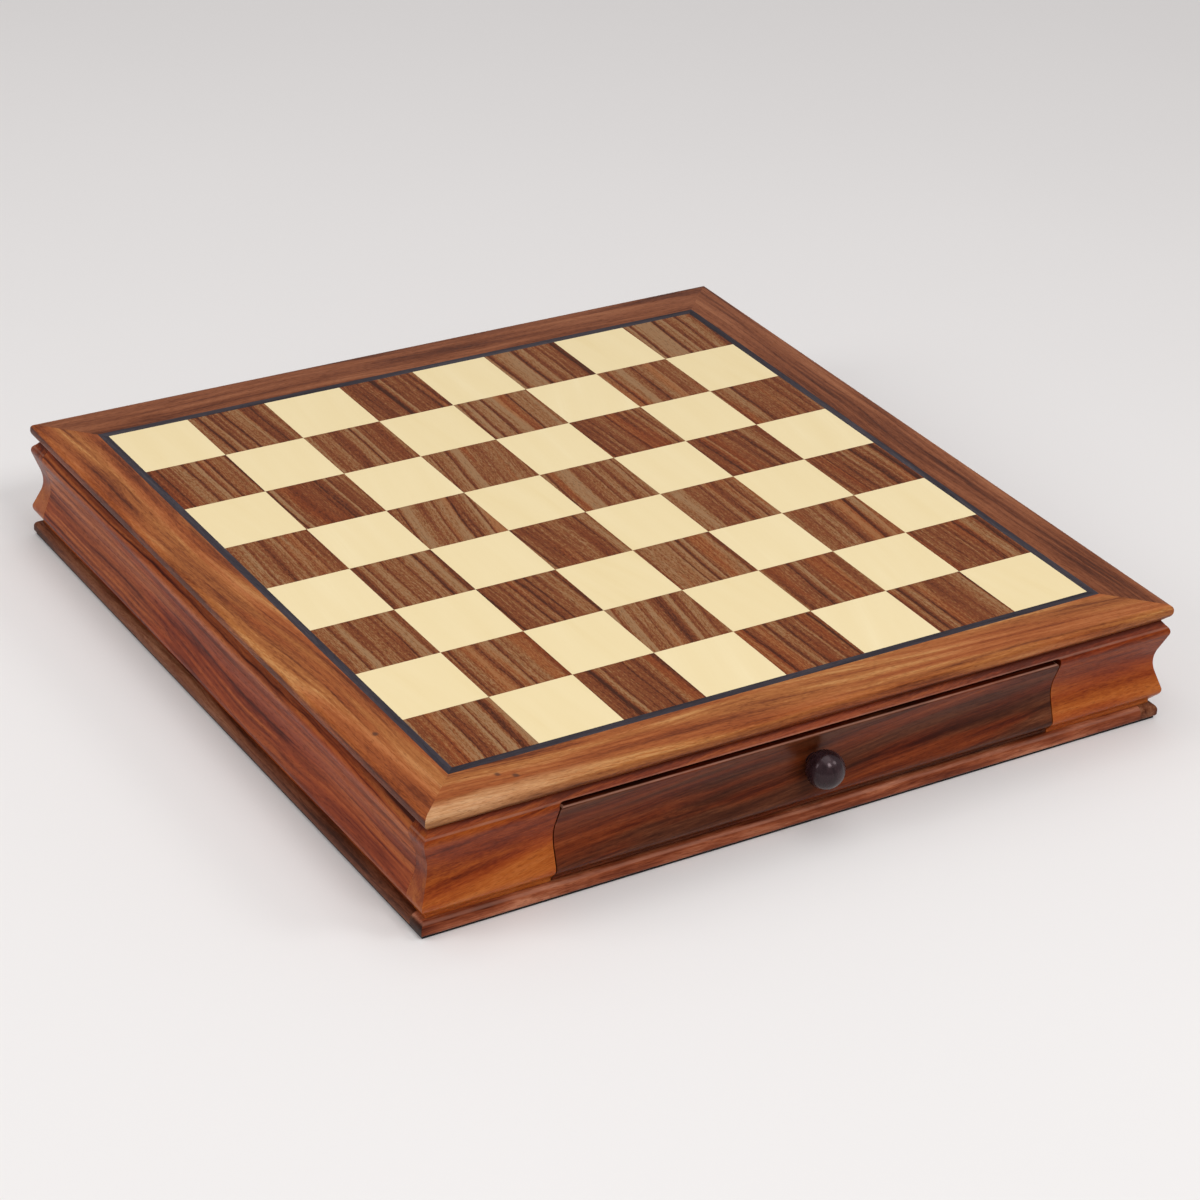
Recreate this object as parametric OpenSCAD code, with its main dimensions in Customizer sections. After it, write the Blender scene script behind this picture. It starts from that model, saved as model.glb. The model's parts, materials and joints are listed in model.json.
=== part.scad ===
// Chess box with two drawers: an inlaid board on a coved case, in millimetres.
// +Z is up, the front drawer faces -Y, and the origin is the middle of the underside.

/* [Playing board] */
// Side of one playing square
square = 50; // [38:0.5:60]
// Thickness of the square tiles and of the inlay
tile_t = 3; // [1.5:0.1:5]
// Glue line between neighbouring tiles
tile_gap = 0.1; // [0.05:0.05:0.3]
// Width of the black inlay round the field
inlay_w = 4.75; // [2:0.25:10]
// Thickness of the panel that carries the tiles
panel_t = 7; // [5:0.5:12]

/* [Top frame] */
// Width of the frame rails, from the inlay to the outer edge
rail_w = 29.25; // [24:0.25:45]
// Radius of the rounded nose along the outer edge
rail_nose_r = 4.25; // [2:0.25:5]
// Width of the rebate under the rail that receives the panel
rail_rebate_w = 8; // [4:0.5:12]
// Play between the panel and the rebate
panel_play = 0.25; // [0.1:0.05:0.5]

/* [Case moulding] */
// Height of the coved apron
apron_h = 54.5; // [46:0.5:80]
// Thickness of the apron boards at their beads
apron_t = 16; // [14:0.5:22]
// Radius of the bead along the top and bottom of the cove
bead_r = 4.6; // [3:0.1:6]
// Distance of a bead's centre from the moulding's edge
bead_edge = 6.9; // [6.5:0.1:9]
// Depth of the cove behind the beads
cove_depth = 5; // [3:0.1:6]
// Radius of the cove
cove_r = 21; // [12:0.5:40]
// Height of the plain foot below the lower bead
foot_h = 3.9; // [1:0.1:6]

/* [Base] */
// Thickness of the base board and its half-round edging
base_t = 6.5; // [5:0.5:10]
// Width of the edging strips
base_edge_w = 12; // [9:0.5:15]
// Setback of the edging from the frame's outer edge
base_setback = 0.4; // [0:0.1:3]
// Thickness of the felt under the base
felt_t = 1; // [0.6:0.1:3]
// Setback of the felt from the frame's outer edge
felt_setback = 1.5; // [1:0.5:8]

/* [Drawer openings] */
// Width of each opening
opening_w = 315; // [220:1:330]
// Wood left above the opening
opening_top = 2.8; // [2:0.1:6]
// Radius of the opening's upper corners
opening_corner_r = 2; // [1:0.1:4]
// Thickness of the two bay walls
bay_wall_t = 8; // [6:0.5:12]
// Thickness of the partition between the drawers
partition_t = 8; // [6:0.5:12]
// Leg of the triangular glue blocks in the corners
block_leg = 22; // [14:0.5:30]

/* [Drawers] */
// Gap at each side of the drawer
side_gap = 0.6; // [0.3:0.1:1.5]
// Gap above the drawer face
face_gap_top = 3.7; // [1:0.1:5]
// Gap below the drawer face
face_gap_bottom = 0.8; // [0.4:0.1:1.2]
// Radius of the face's upper arris
face_arris_r = 1.5; // [0.6:0.1:2.5]
// Running clearance under the drawer sides
slide_gap = 0.3; // [0.2:0.05:0.6]
// Gap between the closed drawer and the partition
stop_gap = 0.3; // [0.2:0.05:0.6]
// Thickness of the drawer sides and back
box_t = 8; // [6:0.5:11]
// Depth of the rebate in the face that takes each side
face_rebate = 6; // [3:0.5:8]
// How far the sides stay below the top of the face
side_drop = 3; // [1:0.5:8]
// Thickness of the drawer floor
floor_t = 3; // [2:0.5:5]
// Depth of the groove that holds the floor
floor_groove = 3; // [2:0.5:5]
// Height of the floor above the lower edge of the sides
floor_up = 2; // [1:0.5:4]
// Thickness of the felt lining
lining_t = 1; // [0.6:0.1:1.5]

/* [Compartments] */
// Compartments side by side in each row
columns = 7; // [4:1:9]
// Thickness of the felt-covered dividers
divider_t = 3; // [2:0.25:5]
// How far the dividers stay below the sides
divider_drop = 4.3; // [2:0.1:10]
// Play in the half-lap slots of the dividers
lap_play = 0.1; // [0.05:0.05:0.3]

/* [Knob] */
// Diameter of the knob's ball
knob_d = 21; // [14:0.5:26]
// Diameter of the neck and its spigot
neck_d = 9; // [6:0.5:12]
// Neck that shows between the face and the ball
neck_l = 1; // [0.5:0.25:6]
// Depth of the spigot's socket in the face
spigot_l = 5; // [3:0.5:6]
// Play round the spigot
spigot_play = 0.1; // [0.05:0.05:0.3]

/* [Screws] */
// Shank diameter of the knob screw
knob_screw_d = 4; // [3:0.5:5]
// Shank length of the knob screw
knob_screw_l = 20; // [16:1:22]
// Head diameter of the knob screw
knob_head_d = 8; // [6:0.5:9]
// Head height of the knob screw
knob_head_h = 3; // [2:0.25:4]
// Shank diameter of the base screws
base_screw_d = 3.5; // [2.5:0.5:4.5]
// Length of the base screws with their heads
base_screw_l = 25; // [14:1:30]
// Play round a screw's shank and head
screw_play = 0.1; // [0.05:0.05:0.3]

/* [Hidden] */
$fn = 96;
CELLS = 8;               // squares along each side of the field
OVER = 1;                // overshoot of a cut past the face it opens

// Plan sizes, each half the width of the box or of a square outline in it
field_half = CELLS * square / 2;
inlay_half = field_half + inlay_w;
outer_half = inlay_half + rail_w;
panel_half = inlay_half + rail_rebate_w - panel_play;
apron_inner = outer_half - apron_t;
base_half = outer_half - base_setback;
board_half = base_half - base_edge_w;
felt_half = outer_half - felt_setback;

// Levels, from the surface that the box stands on
z_board = felt_t;
z_case = z_board + base_t;
z_panel = z_case + apron_h;
z_tile = z_panel + panel_t;
z_top = z_tile + tile_t;
z_cove = z_case + foot_h + (apron_h - foot_h) / 2;
z_opening = z_panel - opening_top;

// Bead and cove, as circles joined by their common tangents
bead_out = outer_half - bead_r;
bead_rise = (apron_h - foot_h) / 2 - bead_edge;
cove_r_fit = min(cove_r, (pow(bead_rise, 2) + pow(cove_depth, 2)) / (2 * cove_depth) - bead_r);
cove_out = outer_half - cove_depth + cove_r_fit;
centre_line = atan2(bead_rise, cove_out - bead_out);
tangent_turn = acos(min(1, (bead_r + cove_r_fit) / norm([cove_out - bead_out, bead_rise])));
cove_angle = centre_line - tangent_turn;
shoulder_angle = 90 - acos(bead_r / bead_edge);

// Drawer, in the position of the one that faces +Y
face_half_w = opening_w / 2 - side_gap;
z_face = z_case + face_gap_bottom;
z_face_top = z_opening - face_gap_top;
z_box = z_case + slide_gap;
z_box_top = z_face_top - side_drop;
z_floor = z_box + floor_up;
z_lining = z_floor + floor_t;
z_divider = z_lining + lining_t;
z_divider_top = z_box_top - divider_drop;
z_lap = (z_divider + z_divider_top) / 2;
box_inner_half = face_half_w - box_t;
back_out = partition_t / 2 + stop_gap;
box_inner_back = back_out + box_t;
side_front = apron_inner + face_rebate;
lined_half = box_inner_half - lining_t;
lined_back = box_inner_back + lining_t;
lined_front = apron_inner - lining_t;
row_middle = (lined_back + lined_front) / 2;
column_pitch = (2 * lined_half + divider_t) / columns;

// Knob and its screw, on the middle of the cove
knob_out = outer_half - cove_depth + neck_l + knob_d / 2;
socket_out = outer_half - cove_depth - spigot_l;
knob_head_out = apron_inner + knob_head_h + screw_play;

// Base screws, up into what stands on the base board: the blocks, bay walls and partition
base_head_h = base_screw_d / 2;
block_screw_at = apron_inner - block_leg / 3;
bay_screw_x = (opening_w + bay_wall_t) / 2;
BASE_SCREWS = [
    for (x = [-1, 1], y = [-1, 1]) [x * block_screw_at, y * block_screw_at],
    for (x = [-1, 1], y = [-1, 1]) [x * bay_screw_x, y * apron_inner / 2],
    for (x = [-1, 1]) [x * opening_w / 4, 0]
];

MAPLE = "#eddcae";
SHEESHAM = "#73432b";
SHEESHAM_GOLD = "#a46d45";
SHEESHAM_RED = "#9a4f27";
ROSEWOOD = "#5a372d";
BASE_BROWN = "#6e3a28";
EBONY = "#2b2a2c";
KNOB_BLACK = "#2a1f20";
FELT_BLACK = "#1c1c1e";
LINING_GREEN = "#1f4a35";
PLY = "#c9a878";
STEEL = "#b9bcc0";
BRASS = "#c9a24b";

// ---------------------------------------------------------------- shared shapes

// Point at an angle and distance from a centre
function polar(centre, r, angle) = centre + r * [cos(angle), sin(angle)];

// Turn that carries a shape made facing +Y to a side of the box
function turn_to(side) = side == "back" ? 0 : side == "left" ? 90 : side == "front" ? 180 : 270;

// Square slab centred on the Z axis
module slab(half, z0, z1) {
    translate([-half, -half, z0]) cube([2 * half, 2 * half, z1 - z0]);
}

// Block given by its low and high corners
module block(low, high) {
    translate(low) cube(high - low);
}

// Runs a profile (outward, up) along X, so that outward is +Y
module run(length) {
    rotate([90, 0, 90]) linear_extrude(length, center = true) children();
}

// A run of moulding with both ends mitred at 45 degrees, turned to its side
module mitred_run(side) {
    reach = outer_half + OVER;
    rotate(turn_to(side)) intersection() {
        run(2 * reach) children();
        linear_extrude(z_top + OVER) polygon([[0, 0], [reach, reach], [-reach, reach]]);
    }
}

// Upright outline (x, up) with round upper corners
module round_topped(half_w, z0, z1, r) {
    translate([-half_w, z0]) square([2 * half_w, z1 - r - z0]);
    translate([r - half_w, z0]) square([2 * (half_w - r), z1 - z0]);
    for (x = [r - half_w, half_w - r]) translate([x, z1 - r]) circle(r);
}

// Upright outline pushed through from one distance to another along +Y
module through_y(y0, y1) {
    translate([0, y1, 0]) rotate([90, 0, 0]) linear_extrude(y1 - y0) children();
}

// Round bar along +Y at a height
module bar_y(d, y0, y1, z) {
    translate([0, y0, z]) rotate([-90, 0, 0]) cylinder(d = d, h = y1 - y0);
}

// ---------------------------------------------------------------- playing board

// Tiles of one colour: those whose column and row add up to an odd or an even number
module squares(parity) {
    side = square - tile_gap;
    for (i = [0 : CELLS - 1], j = [0 : CELLS - 1])
        if ((i + j) % 2 == parity)
            translate([i * square - field_half + tile_gap / 2,
                       j * square - field_half + tile_gap / 2, z_tile])
                cube([side, side, tile_t]);
}

module light_squares() { color(MAPLE) squares(1); }
module dark_squares() { color(SHEESHAM) squares(0); }

module inlay(side) {
    color(EBONY) mitred_run(side)
        translate([field_half, z_tile]) square([inlay_w, tile_t]);
}

// ---------------------------------------------------------------- top frame

// Flat top, round nose, and an undercut at 45 degrees below it
module rail_profile() {
    nose = [outer_half - rail_nose_r, z_top - rail_nose_r];
    undercut = polar(nose, rail_nose_r, -45);
    difference() {
        union() {
            polygon([[inlay_half, z_panel],
                     [undercut.x - (undercut.y - z_panel), z_panel],
                     undercut, nose, [nose.x, z_top], [inlay_half, z_top]]);
            translate(nose) circle(rail_nose_r);
        }
        translate([inlay_half - OVER, z_panel - OVER])
            square([rail_rebate_w + OVER, panel_t + OVER]);
    }
}

module top_rail(side) { color(SHEESHAM_GOLD) mitred_run(side) rail_profile(); }

module top_panel() { color(PLY) slab(panel_half, z_panel, z_tile); }

// ---------------------------------------------------------------- coved case

// Bead, cove, bead and plain foot; the straight stretches are common tangents
module apron_profile() {
    upper = [bead_out, z_cove + bead_rise];
    lower = [bead_out, z_cove - bead_rise];
    cove = [cove_out, z_cove];
    difference() {
        union() {
            polygon([[apron_inner, z_case], [bead_out, z_case], [bead_out, z_case + foot_h],
                     polar(lower, bead_r, -shoulder_angle),
                     polar(lower, bead_r, cove_angle),
                     polar(cove, cove_r_fit, 180 + cove_angle),
                     polar(cove, cove_r_fit, 180 - cove_angle),
                     polar(upper, bead_r, -cove_angle),
                     polar(upper, bead_r, shoulder_angle),
                     [bead_out, z_panel], [apron_inner, z_panel]]);
            translate(upper) circle(bead_r);
            translate(lower) circle(bead_r);
        }
        translate(cove) circle(cove_r_fit);
    }
}

// The moulding across the whole box, which shapes the ends of the boards that run through
module apron_outline() {
    for (side = [0, 1]) mirror([side, 0]) apron_profile();
    translate([-apron_inner, z_case]) square([2 * apron_inner, apron_h]);
}

// Front and back boards: they run through to the corners and their end grain shows there
module through_apron(side) {
    color(SHEESHAM_RED) rotate(turn_to(side)) difference() {
        intersection() {
            run(2 * (outer_half + OVER)) apron_profile();
            rotate(90) run(2 * (outer_half + OVER)) apron_outline();
        }
        through_y(apron_inner - OVER, outer_half + OVER)
            round_topped(opening_w / 2, z_case - OVER, z_opening, opening_corner_r);
    }
}

// Left and right boards: square lengths that butt between the front and the back
module side_apron(side) {
    color(SHEESHAM_RED) rotate(turn_to(side)) run(2 * apron_inner) apron_profile();
}

module bay_wall(side) {
    color(PLY) difference() {
        mirror([side < 0 ? 1 : 0, 0, 0])
            block([opening_w / 2, -apron_inner, z_case],
                  [opening_w / 2 + bay_wall_t, apron_inner, z_panel]);
        base_screw_set(screw_play);
    }
}

module centre_partition() {
    color(PLY) difference() {
        block([-opening_w / 2, -partition_t / 2, z_case],
              [opening_w / 2, partition_t / 2, z_panel]);
        base_screw_set(screw_play);
    }
}

module corner_block(x_side, y_side) {
    corner = apron_inner;
    color(PLY) difference() {
        scale([x_side, y_side, 1]) translate([0, 0, z_case]) linear_extrude(apron_h)
            polygon([[corner, corner], [corner - block_leg, corner], [corner, corner - block_leg]]);
        base_screw_set(screw_play);
    }
}

// ---------------------------------------------------------------- base

// Half-round edge on both sides of the base
module base_outline() {
    flat_half = base_half - base_t / 2;
    translate([-flat_half, z_board]) square([2 * flat_half, base_t]);
    for (x = [-flat_half, flat_half]) translate([x, z_board + base_t / 2]) circle(base_t / 2);
}

// Each strip runs through at one corner, where its end shows, and butts at the other
module base_edge(side) {
    color(BASE_BROWN) rotate(turn_to(side)) intersection() {
        run(2 * (base_half + OVER)) base_outline();
        rotate(90) run(2 * (base_half + OVER)) base_outline();
        block([-board_half, board_half, 0], [base_half + OVER, base_half + OVER, z_case]);
    }
}

module base_board() {
    color(PLY) difference() {
        slab(board_half, z_board, z_case);
        base_screw_set(screw_play);
    }
}

module base_felt() { color(FELT_BLACK) slab(felt_half, 0, felt_t); }

// Every base screw, or with some play the holes for them; the head is a cone at the bottom
module base_screw_set(play) {
    r = base_screw_d / 2 + play;
    for (at = BASE_SCREWS) translate([at.x, at.y, z_board]) {
        cylinder(h = base_screw_l, r = r);
        cylinder(h = base_head_h, r1 = base_screw_d + play, r2 = r);
    }
}

module base_screws() { color(BRASS) base_screw_set(0); }

// ---------------------------------------------------------------- drawer, facing +Y

// The face is a length of the apron's own moulding, shorter by its gaps
module face_profile() {
    corner = [outer_half - face_arris_r, z_face_top - face_arris_r];
    difference() {
        apron_profile();
        translate([0, z_case - OVER]) square([outer_half + OVER, z_face - z_case + OVER]);
        translate([0, z_face_top]) square([outer_half + OVER, z_top]);
        difference() {
            translate(corner) square(2 * face_arris_r);
            translate(corner) circle(face_arris_r);
        }
    }
}

// Hole for the knob's spigot, the screw and the screw's head
module knob_bore() {
    bar_y(neck_d + 2 * spigot_play, socket_out, outer_half + OVER, z_cove);
    bar_y(knob_screw_d + 2 * screw_play, apron_inner, socket_out + OVER, z_cove);
    bar_y(knob_head_d + 2 * screw_play, apron_inner - OVER, knob_head_out, z_cove);
}

module drawer_face() {
    color(ROSEWOOD) difference() {
        intersection() {
            run(2 * face_half_w) face_profile();
            through_y(apron_inner - OVER, outer_half + OVER)
                round_topped(face_half_w, z_face, z_face_top, opening_corner_r);
        }
        for (side = [-1, 1])
            mirror([side < 0 ? 1 : 0, 0, 0])
                block([box_inner_half, apron_inner - OVER, z_face - OVER],
                      [face_half_w + OVER, side_front, z_box_top]);
        floor_slot();
        knob_bore();
    }
}

// Room for the floor panel in the grooves of the four walls
module floor_slot() {
    block([-box_inner_half - floor_groove, box_inner_back - floor_groove, z_floor],
          [box_inner_half + floor_groove, apron_inner + floor_groove, z_lining]);
}

// hand is 1 for the left side as seen by someone who pulls the drawer, -1 for the right
module drawer_side(hand) {
    color(PLY) mirror([hand < 0 ? 1 : 0, 0, 0]) difference() {
        block([box_inner_half, back_out, z_box], [face_half_w, side_front, z_box_top]);
        floor_slot();
    }
}

module drawer_back() {
    color(PLY) difference() {
        block([-box_inner_half, back_out, z_box], [box_inner_half, box_inner_back, z_box_top]);
        floor_slot();
    }
}

module drawer_floor() { color(PLY) floor_slot(); }

module drawer_floor_felt() {
    color(LINING_GREEN)
        block([-box_inner_half, box_inner_back, z_lining],
              [box_inner_half, apron_inner, z_divider]);
}

module drawer_wall_felt() {
    color(LINING_GREEN) difference() {
        block([-box_inner_half, box_inner_back, z_divider],
              [box_inner_half, apron_inner, z_divider_top]);
        block([-lined_half, lined_back, z_divider - OVER],
              [lined_half, lined_front, z_divider_top + OVER]);
    }
}

// Middle of the divider that stands to the right of a column
function divider_x(i) = (i + 1) * column_pitch - divider_t / 2 - lined_half;

// The long divider is slotted from below, the cross dividers from above
module drawer_long_divider() {
    slot = divider_t / 2 + lap_play;
    color(LINING_GREEN) difference() {
        block([-lined_half, row_middle - divider_t / 2, z_divider],
              [lined_half, row_middle + divider_t / 2, z_divider_top]);
        for (i = [0 : columns - 2])
            block([divider_x(i) - slot, row_middle - divider_t, z_divider - OVER],
                  [divider_x(i) + slot, row_middle + divider_t, z_lap + lap_play]);
    }
}

module drawer_cross_dividers() {
    slot = divider_t / 2 + lap_play;
    color(LINING_GREEN) for (i = [0 : columns - 2]) difference() {
        block([divider_x(i) - divider_t / 2, lined_back, z_divider],
              [divider_x(i) + divider_t / 2, lined_front, z_divider_top]);
        block([divider_x(i) - divider_t, row_middle - slot, z_lap],
              [divider_x(i) + divider_t, row_middle + slot, z_divider_top + OVER]);
    }
}

// Turned in one piece: ball, neck and the spigot that sits in the face
module drawer_knob() {
    ball_r = knob_d / 2;
    spigot_end = socket_out + screw_play;
    color(KNOB_BLACK) difference() {
        translate([0, knob_out, z_cove]) rotate([-90, 0, 0]) rotate_extrude() {
            intersection() {
                circle(ball_r);
                translate([0, -ball_r]) square(knob_d);
            }
            translate([0, spigot_end - knob_out]) square([neck_d / 2, knob_out - spigot_end]);
        }
        bar_y(knob_screw_d + 2 * screw_play, spigot_end - OVER,
              knob_head_out + knob_screw_l + screw_play, z_cove);
    }
}

module drawer_knob_screw() {
    head_start = knob_head_out - knob_head_h;
    color(STEEL) difference() {
        union() {
            bar_y(knob_head_d, head_start, knob_head_out, z_cove);
            bar_y(knob_screw_d, head_start, knob_head_out + knob_screw_l, z_cove);
        }
        // Straight driver slot across the head
        translate([0, head_start, z_cove])
            cube([knob_head_d + OVER, knob_head_h, knob_head_d / 8], center = true);
    }
}

// ---------------------------------------------------------------- assembly

light_squares();
dark_squares();
inlay("front");  // inlay_front
inlay("back");  // inlay_back
inlay("left");  // inlay_left
inlay("right");  // inlay_right
top_rail("front");  // top_rail_front
top_rail("back");  // top_rail_back
top_rail("left");  // top_rail_left
top_rail("right");  // top_rail_right
top_panel();
through_apron("front");  // apron_front
through_apron("back");  // apron_back
side_apron("left");  // apron_left
side_apron("right");  // apron_right
bay_wall(-1);  // bay_wall_left
bay_wall(1);  // bay_wall_right
centre_partition();
corner_block(-1, -1);  // corner_block_front_left
corner_block(1, -1);  // corner_block_front_right
corner_block(-1, 1);  // corner_block_back_left
corner_block(1, 1);  // corner_block_back_right
base_board();
base_edge("front");  // base_edge_front
base_edge("back");  // base_edge_back
base_edge("left");  // base_edge_left
base_edge("right");  // base_edge_right
base_felt();
base_screws();

rotate(turn_to("front")) drawer_face();  // front_drawer_face
rotate(turn_to("front")) drawer_side(1);  // front_drawer_side_left
rotate(turn_to("front")) drawer_side(-1);  // front_drawer_side_right
rotate(turn_to("front")) drawer_back();  // front_drawer_back
rotate(turn_to("front")) drawer_floor();  // front_drawer_floor
rotate(turn_to("front")) drawer_floor_felt();  // front_drawer_floor_felt
rotate(turn_to("front")) drawer_wall_felt();  // front_drawer_wall_felt
rotate(turn_to("front")) drawer_long_divider();  // front_drawer_long_divider
rotate(turn_to("front")) drawer_cross_dividers();  // front_drawer_cross_dividers
rotate(turn_to("front")) drawer_knob();  // front_drawer_knob
rotate(turn_to("front")) drawer_knob_screw();  // front_drawer_knob_screw

rotate(turn_to("back")) drawer_face();  // back_drawer_face
rotate(turn_to("back")) drawer_side(1);  // back_drawer_side_left
rotate(turn_to("back")) drawer_side(-1);  // back_drawer_side_right
rotate(turn_to("back")) drawer_back();  // back_drawer_back
rotate(turn_to("back")) drawer_floor();  // back_drawer_floor
rotate(turn_to("back")) drawer_floor_felt();  // back_drawer_floor_felt
rotate(turn_to("back")) drawer_wall_felt();  // back_drawer_wall_felt
rotate(turn_to("back")) drawer_long_divider();  // back_drawer_long_divider
rotate(turn_to("back")) drawer_cross_dividers();  // back_drawer_cross_dividers
rotate(turn_to("back")) drawer_knob();  // back_drawer_knob
rotate(turn_to("back")) drawer_knob_screw();  // back_drawer_knob_screw
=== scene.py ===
# Looks of a chess box with two drawers: lacquered woods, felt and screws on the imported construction.
import json
import math

import bmesh
import bpy
from mathutils import Matrix, Vector

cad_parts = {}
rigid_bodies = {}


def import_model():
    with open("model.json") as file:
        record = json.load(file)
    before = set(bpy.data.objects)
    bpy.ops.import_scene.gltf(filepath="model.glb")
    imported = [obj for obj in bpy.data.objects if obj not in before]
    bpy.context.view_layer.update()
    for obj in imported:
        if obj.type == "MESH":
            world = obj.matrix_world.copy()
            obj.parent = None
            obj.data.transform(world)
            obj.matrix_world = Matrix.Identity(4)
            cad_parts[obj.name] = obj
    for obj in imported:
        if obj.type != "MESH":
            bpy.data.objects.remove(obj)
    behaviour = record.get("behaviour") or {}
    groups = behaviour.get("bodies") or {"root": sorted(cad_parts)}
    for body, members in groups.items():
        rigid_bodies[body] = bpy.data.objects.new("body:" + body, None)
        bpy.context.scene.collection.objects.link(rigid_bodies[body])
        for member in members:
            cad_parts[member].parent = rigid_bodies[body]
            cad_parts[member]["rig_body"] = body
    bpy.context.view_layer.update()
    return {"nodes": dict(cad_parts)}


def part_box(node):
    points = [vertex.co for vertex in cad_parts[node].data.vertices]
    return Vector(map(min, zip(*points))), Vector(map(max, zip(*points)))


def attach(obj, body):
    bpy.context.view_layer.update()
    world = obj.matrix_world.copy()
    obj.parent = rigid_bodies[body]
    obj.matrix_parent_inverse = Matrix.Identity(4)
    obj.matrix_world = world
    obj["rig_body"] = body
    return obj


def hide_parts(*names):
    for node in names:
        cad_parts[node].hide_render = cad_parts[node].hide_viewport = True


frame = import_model()

MM = 0.001
NODES = frame["nodes"]

# Turn about Z that carries a shape made for the front to each side of the box
TURN = {"front": 0, "right": 90, "back": 180, "left": 270}
DRAWERS = ("front", "back")

# ---------------------------------------------------------------- sizes, read from the construction

apron_low, apron_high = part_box("apron_front")
OUTER = apron_high.x
APRON_IN = -apron_high.y
Z_CASE, Z_PANEL = apron_low.z, apron_high.z
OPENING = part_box("bay_wall_right")[0].x
RAIL_IN = -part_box("top_rail_front")[1].y
Z_TILE, Z_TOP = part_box("light_squares")[0].z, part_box("light_squares")[1].z
base_low, base_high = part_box("base_edge_front")
BASE, BOARD = -base_low.x, base_high.x
Z_BOARD = base_low.z
face_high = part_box("front_drawer_face")[1]
FACE_HALF, Z_FACE = face_high.x, face_high.z

# Moulding of the apron, nose of the frame, drawer front, squares and dividers, as the construction has them
BEAD_R = 4.6 * MM
BEAD_EDGE = 6.9 * MM
COVE_DEPTH = 5 * MM
COVE_R = 21 * MM
FOOT_H = 3.9 * MM
NOSE_R = 4.25 * MM
FACE_ARRIS = 1.5 * MM
FACE_GAP = 0.8 * MM
SLIDE_GAP = 0.3 * MM
REBATE = 8 * MM
OPENING_CORNER = 2 * MM
SQUARE = 50 * MM
DIVIDERS = 6
LAP_PLAY = 0.1 * MM

# Small forms that only the looks have. The edging of the base is thicker by BASE_RISE, with a wide round
# above and a small one below. The upper bead turns to BEAD_CROWN degrees. The frame's nose has a crisper
# upper edge, the drawer front has rounder corners, and the opening starts further below the panel.
BASE_RISE = 1.8 * MM
BASE_TOP_R = 4.2 * MM
BASE_LOW_R = 2.2 * MM
BEAD_CROWN = 57
NOSE_TOP_R = 3 * MM
FACE_CORNER = 3 * MM
OPENING_TOP = 4.0 * MM
Z_SEAM = Z_CASE + BASE_RISE

# Rounding of the arrises
RAIL_ARRIS = 0.12 * MM
SIDE_APRON_ARRIS = 0.15 * MM
CUT_APRON_ARRIS = 0.6 * MM
BASE_ARRIS = 0.2 * MM
FACE_EDGE_ARRIS = 0.35 * MM
BOX_ARRIS = 0.4 * MM
LINING_ARRIS = 0.2 * MM
PAD_ARRIS = 0.3 * MM
DIVIDER_ROUND = 0.7 * MM
# Angle between two faces, in degrees, above which their edge is an arris
SHARP = 32
# Points nearer than this are one point
WELD = 1e-6

# ---------------------------------------------------------------- meshes


def arc(centre, radius, start, end, steps):
    """Points of an arc from one angle to another, in degrees."""
    turns = [math.radians(start + (end - start) * i / steps) for i in range(steps + 1)]
    return [(centre[0] + radius * math.cos(t), centre[1] + radius * math.sin(t)) for t in turns]


def apron_profile():
    """Foot, bead, cove, bead: (outward, height) from the bottom to the top."""
    half = (Z_PANEL - Z_CASE - FOOT_H) / 2
    z_cove = Z_CASE + FOOT_H + half
    rise = half - BEAD_EDGE
    bead_out = OUTER - BEAD_R
    cove_out = OUTER - COVE_DEPTH + COVE_R
    centres = math.hypot(cove_out - bead_out, rise)
    tangent = math.degrees(math.atan2(rise, cove_out - bead_out) - math.acos((BEAD_R + COVE_R) / centres))
    shoulder = 90 - math.degrees(math.acos(BEAD_R / BEAD_EDGE))
    lower = arc((bead_out, z_cove - rise), BEAD_R, -shoulder, tangent, 18)
    cove = arc((cove_out, z_cove), COVE_R, 180 + tangent, 180 - tangent, 28)
    upper = arc((bead_out, z_cove + rise), BEAD_R, -tangent, BEAD_CROWN, 20)
    return [(bead_out, Z_SEAM), (bead_out, Z_CASE + FOOT_H), *lower, *cove, *upper, (bead_out, Z_PANEL)]


def face_profile():
    """The apron's moulding up to the drawer's rounded upper edge."""
    centre = (OUTER - FACE_ARRIS, Z_FACE - FACE_ARRIS)
    edge = arc(centre, FACE_ARRIS, 15, 90, 8)
    moulding = [point for point in apron_profile() if Z_SEAM < point[1] < edge[0][1]]
    return [(moulding[0][0], Z_SEAM + FACE_GAP), *moulding, *edge]


def rail_profile():
    """Undercut and round nose of the top frame."""
    below = arc((OUTER - NOSE_R, Z_TOP - NOSE_R), NOSE_R, -45, 0, 10)
    above = arc((OUTER - NOSE_TOP_R, Z_TOP - NOSE_TOP_R), NOSE_TOP_R, 0, 90, 14)
    start = below[0]
    return [(start[0] - (start[1] - Z_PANEL), Z_PANEL), *below, *above]


def base_profile():
    """Edging of the base: a wide round above and a small one below."""
    below = arc((BASE - BASE_LOW_R, Z_BOARD + BASE_LOW_R), BASE_LOW_R, -90, 0, 10)
    above = arc((BASE - BASE_TOP_R, Z_SEAM - BASE_TOP_R), BASE_TOP_R, 0, 90, 18)
    return [*below, *above]


def outward_at(profile, z):
    """How far a profile stands out at a height."""
    for (o0, z0), (o1, z1) in zip(profile, profile[1:]):
        if z0 <= z <= z1 and z1 > z0:
            return o0 + (o1 - o0) * (z - z0) / (z1 - z0)
    return profile[-1][0]


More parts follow.
